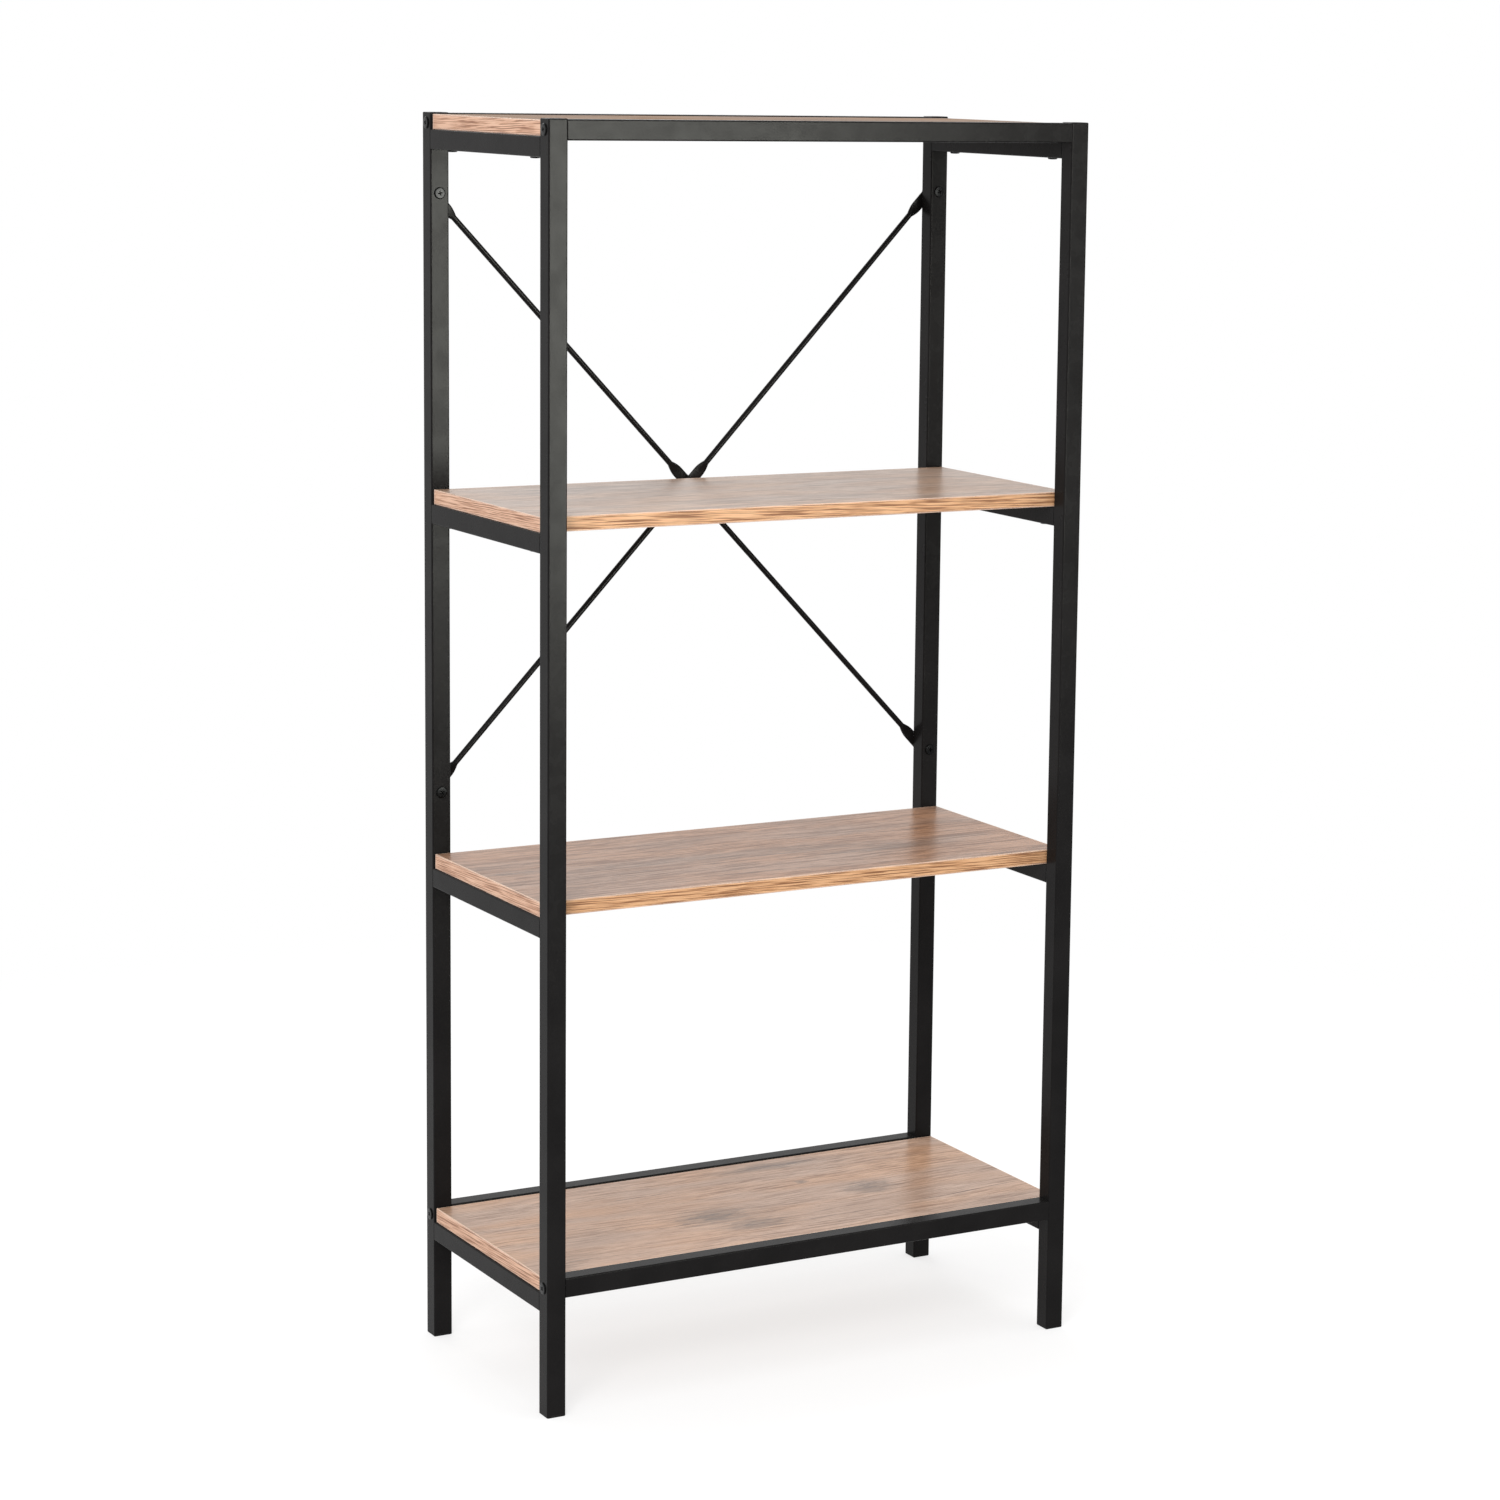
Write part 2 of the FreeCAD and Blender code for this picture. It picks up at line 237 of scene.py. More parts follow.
boardLooks = {
    # the top board's greyer, darker tone is painted reflection: it stands in for the glancing sheen that its
    # zero specular leaves out
    "top_board": dict(
        shift=(0.3, 0.0, 0.0), tone=(0.66, 0.78, 0.90), spread=0.07, specular=0.0, patchDark=0.5,
        crackDark=0.6,
        patches=[(-0.12, 0.03, 0.05, 0.016), (0.16, -0.05, 0.07, 0.020)],
        cracks=[(-0.24, 0.060, -0.10, 0.064), (0.02, -0.075, 0.21, -0.070), (-0.16, -0.020, -0.02, -0.024)]),
    "upper_board": dict(
        shift=(1.9, 0.4, 0.0), tone=(0.80, 0.86, 0.90), spread=0.042, specular=0.20, patchDark=0.40,
        crackDark=0.6,
        patches=[(-0.20, 0.060, 0.10, 0.040)],
        cracks=[(-0.28, 0.078, -0.12, 0.074), (-0.16, 0.035, 0.02, 0.030), (0.02, 0.066, 0.17, 0.070),
                (-0.14, -0.098, 0.10, -0.102)]),
    "lower_board": dict(
        shift=(3.3, 0.9, 0.0), tone=(0.69, 0.61, 0.55), spread=0.028, specular=0.20, patchDark=0.45,
        crackDark=1.0, crackWidth=0.0018,
        patches=[(-0.03, -0.020, 0.20, 0.026), (0.12, -0.050, 0.14, 0.016), (-0.25, 0.000, 0.06, 0.018)],
        cracks=[(-0.085, -0.018, 0.025, -0.024), (-0.19, -0.044, 0.01, -0.045), (0.04, -0.054, 0.165, -0.057),
                (0.095, -0.034, 0.21, -0.037), (0.145, 0.022, 0.235, 0.020), (-0.298, 0.002, -0.235, 0.000),
                (-0.06, -0.031, 0.09, -0.030), (-0.12, -0.098, 0.06, -0.104)]),
    "bottom_board": dict(
        shift=(5.1, 1.3, 0.0), tone=(0.96, 0.97, 0.97), spread=0.080, specular=0.20, patchDark=0.90,
        crackDark=0.8, crackWidth=0.0013,
        patches=[(-0.056, -0.038, 0.066, 0.036), (-0.030, -0.078, 0.060, 0.026),
                 (0.140, -0.016, 0.040, 0.030), (0.084, 0.031, 0.010, 0.008), (0.08, 0.098, 0.10, 0.014)],
        cracks=[(0.028, -0.0725, 0.110, -0.0650), (0.125, -0.086, 0.305, -0.072),
                (-0.04, -0.092, 0.135, -0.089), (-0.04, -0.050, 0.03, -0.046), (0.0, 0.092, 0.175, 0.104),
                (-0.26, -0.106, -0.19, -0.108), (-0.145, 0.061, -0.05, 0.060), (-0.14, -0.048, -0.06, -0.050),
                (0.14, 0.082, 0.24, 0.079)]),
}
printLook = dict(deep=(0.320, 0.185, 0.120), middle=(0.533, 0.332, 0.228), pale=(0.665, 0.440, 0.318),
                 crack=(0.085, 0.050, 0.034), smoke=(0.170, 0.128, 0.105), crackWidth=0.0024,
                 warm=(1.06, 1.00, 0.91), cool=(0.94, 1.00, 1.07), roughLow=0.27, roughHigh=0.36)


def crackLine(tree, point, wander, crack, width):
    # distance from a slanted line, faded out towards its ends
    startX, startY, endX, endY = crack
    slope = (endY - startY) / (endX - startX)
    across = calc(tree, "SUBTRACT", dot(tree, point, (-slope, 1, 0)), startY - slope * startX)
    across = calc(tree, "ADD", across, wander)
    run = calc(tree, "SUBTRACT", dot(tree, point, (1, 0, 0)), (startX + endX) / 2)
    run = calc(tree, "ABSOLUTE", run)
    half = abs(endX - startX) / 2
    line = fade(tree, calc(tree, "ABSOLUTE", across), width, width * 0.15)
    return calc(tree, "MULTIPLY", line, fade(tree, run, half, half * 0.5))


def largest(tree, values):
    top = values[0]
    for value in values[1:]:
        top = calc(tree, "MAXIMUM", top, value)
    return top


def boardMaterial(name, board, look):
    material, tree, shader = newMaterial(name)
    point = objectPoint(tree)
    shifted = addNode(tree, "VectorMath", {0: point, 1: board["shift"]}, operation="ADD").outputs[0]
    axes = addNode(tree, "SeparateXYZ", {0: shifted})
    # the grain lane is Y pushed to and fro by two slow noises; all scales are cycles per metre
    sway = noise(tree, scaled(tree, shifted, (2.0, 5, 1)), 1, 2)
    flutter = noise(tree, scaled(tree, shifted, (13, 40, 1)), 1, 2)
    lane = calc(tree, "MULTIPLY_ADD", sway, 0.045, axes.outputs["Y"])
    lane = calc(tree, "MULTIPLY_ADD", flutter, 0.004, lane)
    grain = addNode(tree, "CombineXYZ", {0: axes.outputs["X"], 1: lane, 2: axes.outputs["Z"]}).outputs[0]
    cloud = noise(tree, scaled(tree, grain, (7, 34, 1)), 1, 3, 0.55)
    streak = noise(tree, scaled(tree, grain, (7, 150, 1)), 1, 3, 0.6)
    vein = noise(tree, scaled(tree, grain, (16, 410, 1), (3.1, 0.7, 0)), 1, 2, 0.6)
    fibre = noise(tree, scaled(tree, grain, (60, 1000, 1)), 1, 2, 0.6)
    pore = noise(tree, scaled(tree, grain, (150, 1600, 1)), 1, 1, 0.5)
    tone = calc(tree, "MULTIPLY", cloud, 0.12)
    tone = calc(tree, "MULTIPLY_ADD", streak, 0.12, tone)
    tone = calc(tree, "MULTIPLY_ADD", vein, 0.46, tone)
    tone = calc(tree, "MULTIPLY_ADD", fibre, 0.30, tone)
    # the grain is stronger in some places than in others
    force = fade(tree, noise(tree, scaled(tree, shifted, (5, 24, 1)), 1, 2), 0.35, 0.65, 0.5, 1.2)
    tone = calc(tree, "MULTIPLY_ADD", calc(tree, "SUBTRACT", tone, 0.5), force, 0.5)
    stops = [np.multiply(look[step], board["tone"]) for step in ("deep", "middle", "pale")]
    colour = ramp(tree, tone, list(zip((0.5 - board["spread"], 0.5, 0.5 + board["spread"]), stops)))
    # broad drift between a warm and a cool tint
    drift = fade(tree, noise(tree, scaled(tree, grain, (5, 20, 1), (1.7, 0.4, 0)), 1, 2), 0.35, 0.65)
    tint = mixColour(tree, drift, opaque(look["warm"]), opaque(look["cool"]))
    colour = mixColour(tree, 1.0, colour, tint, "MULTIPLY")
    # smoky knots: ragged ellipses that fade outwards, with rings inside
    ragged = noise(tree, scaled(tree, grain, (30, 190, 1)), 1, 3, 0.65)
    spots = []
    for patchX, patchY, reachX, reachY in board["patches"]:
        inside = scaled(tree, point, (1 / reachX, 1 / reachY, 0), (-patchX / reachX, -patchY / reachY, 0))
        far = addNode(tree, "VectorMath", {0: inside}, operation="LENGTH").outputs["Value"]
        far = calc(tree, "MULTIPLY_ADD", ragged, 1.4, far)
        spot = fade(tree, far, 1.75, 0.8)
        ring = fade(tree, calc(tree, "SINE", calc(tree, "MULTIPLY", far, 17)), -0.2, 0.9, 0.65, 1.0)
        spots.append(calc(tree, "MULTIPLY", spot, ring))
    smoke = calc(tree, "MULTIPLY", largest(tree, spots), board["patchDark"])
    colour = mixColour(tree, smoke, colour, opaque(look["smoke"]))
    # cracks: thin wandering lines that break off here and there
    wander = calc(tree, "MULTIPLY_ADD", flutter, 0.010, -0.005)
    width = board.get("crackWidth", look["crackWidth"])
    lines = [crackLine(tree, point, wander, crack, width) for crack in board["cracks"]]
    broken = fade(tree, noise(tree, scaled(tree, point, (42, 60, 1)), 1, 2), 0.34, 0.60, 0.25, 1.0)
    crack = calc(tree, "MULTIPLY", largest(tree, lines), broken)
    colour = mixColour(tree, calc(tree, "MULTIPLY", crack, board["crackDark"]), colour, opaque(look["crack"]))
    dash = calc(tree, "MULTIPLY", fade(tree, pore, 0.60, 0.70), 0.35)
    colour = mixColour(tree, dash, colour, opaque(np.multiply(look["deep"], 0.6)))
    tree.links.new(colour, shader.inputs["Base Color"])
    roughness(tree, shader, vein, look["roughHigh"], look["roughLow"])
    shader.inputs["Specular IOR Level"].default_value = board["specular"]
    relief = calc(tree, "SUBTRACT", fibre, crack)
    bump(tree, shader, relief, 0.00004, 0.35)
    return material


# edge bands: oak print that runs along each strip, with the band's pale core on its narrow faces and a
# painted highlight along their edges

# the end strips get a paler, bluer copy of the print (endDeep, endMiddle, endPale, endLine): painted light,
# standing in for the cooler light on the side-facing strips
bandLook = dict(
    deep=(0.43, 0.210, 0.098), middle=(0.665, 0.348, 0.172), pale=(0.82, 0.478, 0.256),
    line=(0.25, 0.112, 0.054), endDeep=(0.50, 0.270, 0.175), endMiddle=(0.70, 0.410, 0.275),
    endPale=(0.84, 0.540, 0.385), endLine=(0.28, 0.140, 0.090), rim=(0.96, 0.78, 0.68), paintedHighlightReach=0.0026,
    core=(0.80, 0.60, 0.46), places=(0.46, 0.50, 0.54), climbLong=0.020, climbEnd=0.03,
    roughLow=0.34, roughHigh=0.46, specular=0.085)


def bandMaterial(name, look):
    material, tree, shader = newMaterial(name)
    point = objectPoint(tree)
    axes = addNode(tree, "SeparateXYZ", {0: point})
    facing = addNode(tree, "SeparateXYZ", {0: addNode(tree, "TexCoord").outputs["Normal"]})
    # the run of the strip is X on the long sides and Y on the ends; the grain climbs a little along it
    onEnd = calc(tree, "GREATER_THAN", calc(tree, "ABSOLUTE", facing.outputs["X"]), 0.5)
    run = addNode(tree, "Mix", {0: onEnd, 2: axes.outputs["X"], 3: axes.outputs["Y"]}).outputs[0]
    flat = addNode(tree, "CombineXYZ", {0: run, 1: axes.outputs["Z"], 2: onEnd}).outputs[0]
    wave = noise(tree, scaled(tree, flat, (18, 60, 3)), 1, 2, 0.5)
    climb = calc(tree, "MULTIPLY", run, fade(tree, onEnd, 0.0, 1.0, look["climbLong"], look["climbEnd"]))
    lane = calc(tree, "MULTIPLY_ADD", wave, 0.0016, calc(tree, "ADD", climb, axes.outputs["Z"]))
    grain = addNode(tree, "CombineXYZ", {0: run, 1: lane, 2: onEnd}).outputs[0]
    broad = noise(tree, scaled(tree, grain, (6, 260, 3)), 1, 2, 0.5)
    streak = noise(tree, scaled(tree, grain, (17, 1000, 3)), 1, 1, 0.5)
    dash = noise(tree, scaled(tree, grain, (50, 2300, 3)), 1, 1, 0.5)
    tone = calc(tree, "MULTIPLY", broad, 0.10)
    tone = calc(tree, "MULTIPLY_ADD", streak, 0.60, tone)
    tone = calc(tree, "MULTIPLY_ADD", dash, 0.30, tone)
    long = ramp(tree, tone, list(zip(look["places"], (look["deep"], look["middle"], look["pale"]))))
    # painted light: the ends' copy of the print is paler and bluer than the long sides'
    end = ramp(tree, tone, list(zip(look["places"], (look["endDeep"], look["endMiddle"], look["endPale"]))))
    lines = calc(tree, "MULTIPLY", fade(tree, streak, 0.47, 0.39), fade(tree, dash, 0.60, 0.42, 0.5, 1.0))
    long = mixColour(tree, lines, long, opaque(look["line"]))
    end = mixColour(tree, calc(tree, "MULTIPLY", lines, 0.9), end, opaque(look["endLine"]))
    colour = mixColour(tree, onEnd, long, end)
    # painted highlight: the edges are lightened towards the rim colour, as if the arrises caught the light
    rim = calc(tree, "MULTIPLY", edgeMask(tree, look["paintedHighlightReach"]), fade(tree, onEnd, 0.0, 1.0, 0.85, 0.7))
    colour = mixColour(tree, rim, colour, opaque(look["rim"]))
    narrow = fade(tree, calc(tree, "ABSOLUTE", facing.outputs["Z"]), 0.5, 0.9)
    colour = mixColour(tree, narrow, colour, opaque(look["core"]))
    tree.links.new(colour, shader.inputs["Base Color"])
    roughness(tree, shader, streak, look["roughHigh"], look["roughLow"])
    shader.inputs["Specular IOR Level"].default_value = look["specular"]
    bump(tree, shader, streak, 0.00005, 0.4)
    return material


edgeBand = bandMaterial("edgeBand", bandLook)
boardMaterials = {name: boardMaterial(name.replace("_board", "BoardPrint"), board, printLook)
                  for name, board in boardLooks.items()}
print("wood materials made")


def finishOf(name):
    if name in boardMaterials:
        return boardMaterials[name]
    if name.endswith("_edge_bands"):
        return edgeBand
    if name.endswith("_nut_blocks"):
        return plainSteel
    if name.endswith("_cap") or name.endswith("_foot"):
        return capPlastic
    if name.endswith(("_bolts", "_bolt", "_nuts", "_nut", "_screws")):
        return fastenerBlack
    return frameCoat


for name, item in nodes.items():
    item.data.materials.clear()
    item.data.materials.append(finishOf(name))
print("CAD nodes dressed")


# bolts, screws and nuts: surfaces on a grid of rings about their own axis, in millimetres

panBolt = dict(headRadius=6.0, headHeight=1.4, rim=0.4, topRadius=4.8, rise=0.15, armLength=2.5,
               armWidth=1.4, armDepth=2.0, shank=3.0, root=2.5, pitch=1.0, tipRadius=2.2, tipCone=0.9)
boardScrew = dict(headRadius=5.0, headHeight=2.0, rim=0.5, topRadius=3.7, rise=0.25, armLength=2.2,
                  armWidth=1.4, armDepth=1.0, shank=2.0, root=1.35, pitch=1.8, tipRadius=0.15, tipCone=4.0)
hexNut = dict(flats=10.0, height=5.0, bore=3.05, boreChamfer=0.45, faceRadius=4.75, chamferSlope=1.73)
quarter = math.pi / 4


def quarterAngles(half):
    # angles from the middle of one arm out to both sides, set round the axis four times
    ends = np.full((len(half), 1), -quarter)
    arm = np.concatenate([ends, -half[:, ::-1], np.zeros_like(ends), half], 1)
    return np.concatenate([arm + turn * 2 * quarter for turn in range(4)], 1)


evenAngles = quarterAngles(np.arange(1, 6)[None] * quarter / 6)


def recessedHead(look):
    # over the top, height follows a large ball; beyond it, the shoulder is a quarter of an ellipse. Between
    # the arms' walls, whose half angle has the sine half width / r, it drops to a floor that rises outwards
    reach, outer, top = look["armLength"], look["headRadius"], look["topRadius"]
    inner = reach * np.array([0.1, 0.2, 0.28, 0.34, 0.42, 0.54, 0.68, 0.82, 0.92, 1.0])
    lean = np.radians([0, 12, 25, 38, 50, 61, 72, 83])
    radius = np.concatenate([inner, reach + (top - reach) * np.array([0.12, 0.35, 0.65, 0.9]),
                             top + (outer - top) * np.sin(lean)])
    ball = (top ** 2 + look["rise"] ** 2) / (2 * look["rise"])
    crown = look["headHeight"] - ball + np.sqrt(ball ** 2 - np.minimum(radius, top) ** 2)
    beyond = np.clip((radius - top) / (outer - top), 0, 1)
    fall = np.sqrt(1 - beyond ** 2)
    dome = np.where(beyond > 0, look["rim"] + (look["headHeight"] - look["rise"] - look["rim"]) * fall, crown)
    lip = np.arcsin(np.minimum(look["armWidth"] / 2 / radius, 0.68))
    floor = np.arcsin(np.minimum(look["armWidth"] * 0.2 / radius, 0.5))
    half = np.stack([floor * 0.5, floor, lip, lip + (quarter - lip) * 0.4, lip + (quarter - lip) * 0.75], 1)
    even = np.clip((radius - reach) / (outer - reach), 0, 1)[:, None]
    angles = quarterAngles(half) * (1 - even) + evenAngles * even
    inArm = np.tile([0, 0, 0, 0, 1, 1, 1, 1, 1, 0, 0, 0], 4)[None] > 0
    allIn = (radius * math.sin(quarter) < look["armWidth"] / 2)[:, None]
    deep = (inArm | allIn) & (radius < reach * 0.95)[:, None]
    bottom = look["headHeight"] - look["armDepth"] * (1 - 0.55 * radius / reach)
    height = np.where(deep, np.minimum(dome, bottom)[:, None], dome[:, None])
    # painted shade: the recess and the outer shoulder lose the pale tone, so they read dark as if shaded
    shineAndPaintedShade = np.where(deep, 0, np.clip(1 - beyond / 0.4, 0, 1)[:, None])
    return np.stack([radius[:, None] * np.cos(angles), radius[:, None] * np.sin(angles), height], -1), shineAndPaintedShade


def turnedRings(radius, height):
    # plain rings: one radius and one height each
    radius, height = np.array(radius)[:, None], np.array(height)[:, None]
    return np.stack([radius * np.cos(evenAngles), radius * np.sin(evenAngles), height + 0 * evenAngles], -1)


def threadRings(look, start, length):
    # the radius swings between root and crest with depth / pitch + angle / full turn, under a cone at the tip
    depth = np.arange(start, length - 0.05, look["pitch"] / 8)[:, None]
    turn = np.mod(depth / look["pitch"] + evenAngles / (8 * quarter), 1)
    crest = np.clip(1.3 * (1 - np.abs(2 * turn - 1)) - 0.15, 0, 1)
    run = np.clip((depth - start) / look["pitch"], 0, 1)
    radius = look["root"] + (look["shank"] - look["root"]) * (crest * run + 1 - run)
    cone = look["tipRadius"] + (look["shank"] - look["tipRadius"]) * (length - depth) / look["tipCone"]
    radius = np.minimum(radius, cone)
    return np.stack([radius * np.cos(evenAngles), radius * np.sin(evenAngles), 0 * radius - depth], -1)


def screwShape(look, length, threadFrom):
    # head, rim, shank and thread as one skin, closed by a point at each end
    outer, shank = look["headRadius"], look["shank"]
    head, headShineAndPaintedShade = recessedHead(look)
    side = turnedRings([outer, outer, outer - 0.15, shank + 0.3, shank, shank],
                       [look["rim"], 0.15, 0.0, 0.0, -0.3, -threadFrom + 0.05])
    end = turnedRings([look["tipRadius"]], [-length])
    rings = np.concatenate([head, side, threadRings(look, threadFrom, length), end])
    poles = np.array([(0, 0, look["headHeight"] - look["armDepth"]), (0, 0, -length)])
    count, around = rings.shape[:2]
    shineAndPaintedShade = np.zeros(count * around + 2)
    shineAndPaintedShade[:headShineAndPaintedShade.size] = headShineAndPaintedShade.ravel()
    index = np.arange(count * around).reshape(count, around)
    beside = np.roll(index, -1, 1)
    quads = np.stack([index[:-1], index[1:], beside[1:], beside[:-1]], -1).reshape(-1, 4)
    first, last = index[0], index[-1]
    fans = np.concatenate([np.stack([0 * first + count * around, first, np.roll(first, -1)], -1),
                           np.stack([0 * last + count * around + 1, np.roll(last, -1), last], -1)])
    return np.concatenate([rings.reshape(-1, 3), poles]), quads, fans, shineAndPaintedShade


def nutShape(look):
    # the outside is the least of the hexagon, flats / 2 over the cosine from the nearest flat, and of two
    # end cones; the bore is a plain ring with a chamfer at both ends
    angle = np.linspace(0, 8 * quarter, 48, endpoint=False)[None]
    hexagon = look["flats"] / 2 / np.cos(np.mod(angle + math.pi / 6, math.pi / 3) - math.pi / 6)
    top, face, bore, cut = look["height"], look["faceRadius"], look["bore"], look["boreChamfer"]
    low = np.array([0, 0.08, 0.15, 0.25, 0.4, 0.55, 0.75])
    height = np.concatenate([low, [top / 2], (top - low)[::-1]])[:, None]
    outside = np.minimum(hexagon, face + look["chamferSlope"] * np.minimum(height, top - height))
    inside = np.array([bore + cut, bore, bore, bore + cut])[:, None] + 0 * angle
    insideHeight = np.array([top, top - cut, cut, 0])[:, None]
    radius = np.concatenate([outside, inside])
    height = np.concatenate([height, insideHeight]) + 0 * angle
    rings = np.stack([radius * np.cos(angle), radius * np.sin(angle), height], -1)
    index = np.arange(radius.size).reshape(radius.shape)
    above = np.roll(index, -1, 0)
    quads = np.stack([index, np.roll(index, -1, 1), np.roll(above, -1, 1), above], -1).reshape(-1, 4)
    return rings.reshape(-1, 3), quads, np.zeros((0, 3), int), np.full(radius.size, 0.3)


def setAt(shape, seat, axis, roll):
    # turns a shape's own Z to the axis, rolls it about it, and moves it to its seat, in metres
    points, quads, fans, shineAndPaintedShade = shape
    turn = Vector((0, 0, 1)).rotation_difference(Vector(axis)).to_matrix() @ Matrix.Rotation(roll, 3, "Z")
    return points @ np.array(turn).T * 0.001 + np.array(seat) * 0.001, quads, fans, shineAndPaintedShade


def addPiece(name, shapes, material, replaced):
    # joins placed shapes into one mesh, smooth but for its sharp edges
    starts = np.cumsum([0] + [len(shape[0]) for shape in shapes])
    points = np.concatenate([shape[0] for shape in shapes])
    faces = [face for (part, quads, fans, shineAndPaintedShade), start in zip(shapes, starts)
             for face in (quads + start).tolist() + (fans + start).tolist()]
    mesh = bpy.data.meshes.new(name)
    mesh.from_pydata(points.tolist(), [], faces)
    shine = mesh.attributes.new("shineAndPaintedShade", "FLOAT", "POINT")
    shine.data.foreach_set("value", np.concatenate([shape[3] for shape in shapes]).astype(np.float32))
    mesh.polygons.foreach_set("use_smooth", np.ones(len(faces), bool))
    mesh.set_sharp_from_angle(angle=math.radians(38))
    mesh.materials.append(material)
    piece = bpy.data.objects.new(name, mesh)
    scene.collection.objects.link(piece)
    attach(piece, "root")
    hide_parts(*replaced)
    print("piece", name, len(faces), "faces")


# where the fasteners sit, in millimetres; each roll turns the recess or the hexagon a little differently
railBolts = dict(face=300.0, front=-146.5, rear=133.5, levels=dict(top=1259.4, bottom=131.0), length=30.0,
                 threadFrom=20.0)
braceBolts = dict(x=290.0, levels=(1189.7, 579.43), headSeat=123.5, nutSeat=145.9, length=29.4,
                  threadFrom=19.0, middleLevel=884.57, middleSeat=139.9, middleNut=149.5, middleLength=16.6,
                  middleThreadFrom=6.6)
boardScrews = dict(x=290.0, front=-104.5, rear=91.5, length=30.0, threadFrom=8.0,
                   seats=dict(bottom=104.8, lower=480.933, upper=857.067, top=1233.2))
sides = (("left", -1), ("right", 1))
ends = ("front", "rear")
rolls = np.random.default_rng(7).uniform(0, 1.5, 64).tolist()

boltShape = screwShape(panBolt, railBolts["length"], railBolts["threadFrom"])
for side, sign in sides:
    for level, z in railBolts["levels"].items():
        seats = [(sign * railBolts["face"], railBolts[end], z) for end in ends]
        shapes = [setAt(boltShape, seat, (sign, 0, 0), rolls.pop()) for seat in seats]
        addPiece(side + level.title() + "RailBolts", shapes, fastenerBlack,
                 [f"{side}_{level}_rail_bolts"])

boltShape = screwShape(panBolt, braceBolts["length"], braceBolts["threadFrom"])
nut = nutShape(hexNut)
places = [(sign * braceBolts["x"], z) for z in braceBolts["levels"] for side, sign in sides]
bolts = [setAt(boltShape, (x, braceBolts["headSeat"], z), (0, -1, 0), rolls.pop()) for x, z in places]
nuts = [setAt(nut, (x, braceBolts["nutSeat"], z), (0, 1, 0), rolls.pop()) for x, z in places]
addPiece("braceLegBolts", bolts, fastenerBlack, ["brace_leg_bolts"])
addPiece("braceLegNuts", nuts, fastenerBlack, ["brace_leg_nuts"])
boltShape = screwShape(panBolt, braceBolts["middleLength"], braceBolts["middleThreadFrom"])
boltSeat = (0, braceBolts["middleSeat"], braceBolts["middleLevel"])
addPiece("braceMiddleBolt", [setAt(boltShape, boltSeat, (0, -1, 0), rolls.pop())], fastenerBlack,
         ["brace_middle_bolt"])
nutSeat = (0, braceBolts["middleNut"], braceBolts["middleLevel"])
addPiece("braceMiddleNut", [setAt(nut, nutSeat, (0, 1, 0), rolls.pop())], fastenerBlack,
         ["brace_middle_nut"])

screw = screwShape(boardScrew, boardScrews["length"], boardScrews["threadFrom"])
for tier, seat in boardScrews["seats"].items():
    spots = [(sign * boardScrews["x"], boardScrews[end], seat) for side, sign in sides for end in ends]
    shapes = [setAt(screw, spot, (0, 0, -1), rolls.pop()) for spot in spots]
    addPiece(tier + "BoardScrews", shapes, fastenerBlack, [f"{tier}_board_screws"])
print("fasteners made")


# studio: pale floor that turns to plain white further out, white surroundings, soft lamps, and a lamp behind
# a grid that shows only as a sheen on the faces turned to the front

studio = dict(floorReach=30.0, floorColour=(0.36, 0.36, 0.36), floorGlow=0.69, floorFill=0.36, whiteFrom=0.9,
              whiteTo=1.9, worldFill=0.70)
lamps = {
    "keyLamp": dict(place=(-2.3, -2.5, 2.3), aim=(0.0, 0.0, 0.6), size=(1.4, 1.4), radiance=10.0),
    "backLamp": dict(place=(0.3, 2.3, 2.5), aim=(0.0, 0.0, 0.5), size=(1.8, 1.0), radiance=4.0),
    "overheadLamp": dict(place=(0.3, -0.6, 3.2), aim=(0.0, 0.0, 0.0), size=(2.4, 2.4), radiance=0.9),
    "sheenLamp": dict(place=(0.52, -2.46, 1.2), aim=(-0.65, -0.25, 1.35), size=(1.45, 1.45), radiance=2.85,
                      glossOnly=True, spread=56, tint=(1.0, 1.02, 0.93)),
}


def seenRay(tree):
    # 1 for what the camera sees, straight or by gloss and glass
    path = tree.nodes.new("ShaderNodeLightPath")
    seen = calc(tree, "MAXIMUM", path.outputs["Is Camera Ray"], path.outputs["Is Glossy Ray"])
    return calc(tree, "MAXIMUM", seen, path.outputs["Is Transmission Ray"])


def makeFloor(look):
    reach = look["floorReach"]
    corners = [(-reach, -reach, 0), (reach, -reach, 0), (reach, reach, 0), (-reach, reach, 0)]
    mesh = bpy.data.meshes.new("studioFloor")
    mesh.from_pydata(corners, [], [(0, 1, 2, 3)])
    floor = bpy.data.objects.new("studioFloor", mesh)
    scene.collection.objects.link(floor)
    material = bpy.data.materials.new("paleFloor")
    material.use_nodes = True
    tree = material.node_tree
    tree.nodes.clear()
    output = tree.nodes.new("ShaderNodeOutputMaterial")
    paper = addNode(tree, "BsdfDiffuse", {"Color": opaque(look["floorColour"])})
    seen = seenRay(tree)
    strength = fade(tree, seen, 0.0, 1.0, look["floorFill"], look["floorGlow"])
    glow = addNode(tree, "Emission", {"Strength": strength})
    near = addNode(tree, "AddShader", {0: paper.outputs[0], 1: glow.outputs[0]})
    white = addNode(tree, "Emission", {"Strength": fade(tree, seen, 0.0, 1.0, look["worldFill"], 1.0)})
    away = addNode(tree, "VectorMath", {0: objectPoint(tree)}, operation="LENGTH").outputs["Value"]
    blend = fade(tree, away, look["whiteFrom"], look["whiteTo"])
    mix = addNode(tree, "MixShader", {0: blend, 1: near.outputs[0], 2: white.outputs[0]})
    tree.links.new(mix.outputs[0], output.inputs["Surface"])
    mesh.materials.append(material)


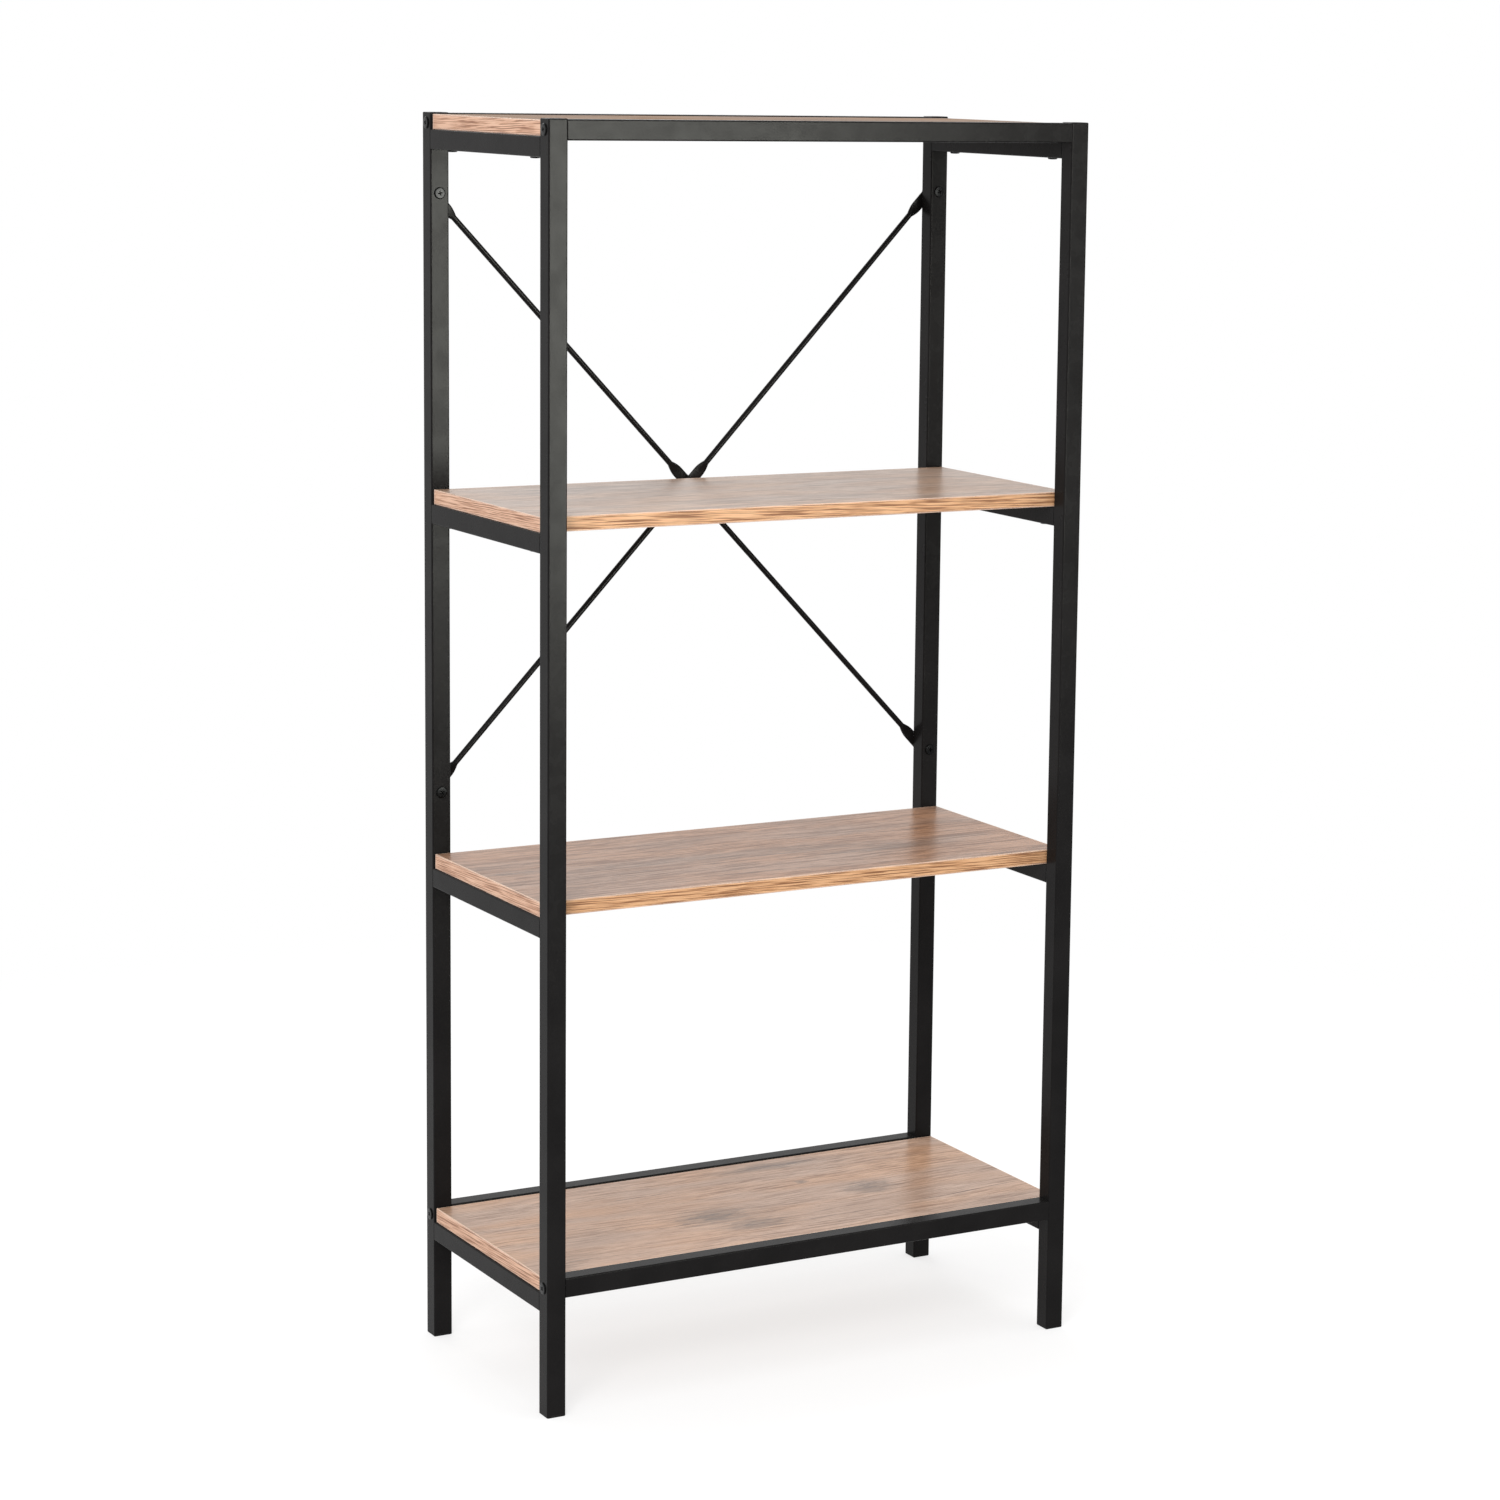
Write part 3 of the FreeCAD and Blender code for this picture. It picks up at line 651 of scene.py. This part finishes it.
def makeWorld(look):
    # white for camera, glossy and transmission rays, a plain fill level for the rest
    world = bpy.data.worlds.new("studioWorld")
    scene.world = world
    world.use_nodes = True
    tree = world.node_tree
    tree.nodes.clear()
    strength = fade(tree, seenRay(tree), 0.0, 1.0, look["worldFill"], 1.0)
    background = addNode(tree, "Background", {"Strength": strength})
    background.inputs["Color"].default_value = (1, 1, 1, 1)
    output = tree.nodes.new("ShaderNodeOutputWorld")
    tree.links.new(background.outputs[0], output.inputs["Surface"])


def makeLamp(name, look):
    # an area lamp gives radiance x area x pi watts
    light = bpy.data.lights.new(name, "AREA")
    light.shape = "RECTANGLE"
    light.size, light.size_y = look["size"]
    light.color = look.get("tint", (1, 1, 1))
    light.spread = math.radians(look.get("spread", 180))
    light.energy = look["radiance"] * look["size"][0] * look["size"][1] * math.pi
    lamp = bpy.data.objects.new(name, light)
    scene.collection.objects.link(lamp)
    toward = Vector(look["aim"]) - Vector(look["place"])
    turn = toward.to_track_quat("-Z", "Y").to_matrix().to_4x4()
    lamp.matrix_world = Matrix.Translation(look["place"]) @ turn
    lamp.visible_camera = False
    glossOnly = look.get("glossOnly", False)
    lamp.visible_diffuse = not glossOnly
    if glossOnly:
        # the sheen falls on everything but the printed boards
        takers = bpy.data.collections.new(name + "Takers")
        for item in scene.objects:
            if item.type == "MESH" and item.name not in boardLooks:
                takers.objects.link(item)
        lamp.light_linking.receiver_collection = takers


makeFloor(studio)
makeWorld(studio)
for name, look in lamps.items():
    makeLamp(name, look)
print("studio set")


# camera at the photograph's place, with its turn given as yaw, pitch and roll

view = dict(place=(-1.83677, -3.48327, 1.33217), yaw=0.5400, pitch=-0.1548, roll=-0.0177, lens=92.676,
            shift=(-0.13927, -0.05940))


def makeCamera(look):
    yaw, pitch, roll = look["yaw"], look["pitch"], look["roll"]
    forward = Vector((math.sin(yaw) * math.cos(pitch), math.cos(yaw) * math.cos(pitch), math.sin(pitch)))
    level = Vector((math.cos(yaw), -math.sin(yaw), 0))
    under = forward.cross(level)
    right = level * math.cos(roll) + under * math.sin(roll)
    down = under * math.cos(roll) - level * math.sin(roll)
    turn = Matrix((right, -down, -forward)).transposed()
    lensData = bpy.data.cameras.new("photoCamera")
    lensData.sensor_width = 36
    lensData.lens = look["lens"]
    lensData.shift_x, lensData.shift_y = look["shift"]
    camera = bpy.data.objects.new("photoCamera", lensData)
    scene.collection.objects.link(camera)
    camera.matrix_world = Matrix.Translation(look["place"]) @ turn.to_4x4()
    scene.camera = camera


makeCamera(view)
print("camera set")
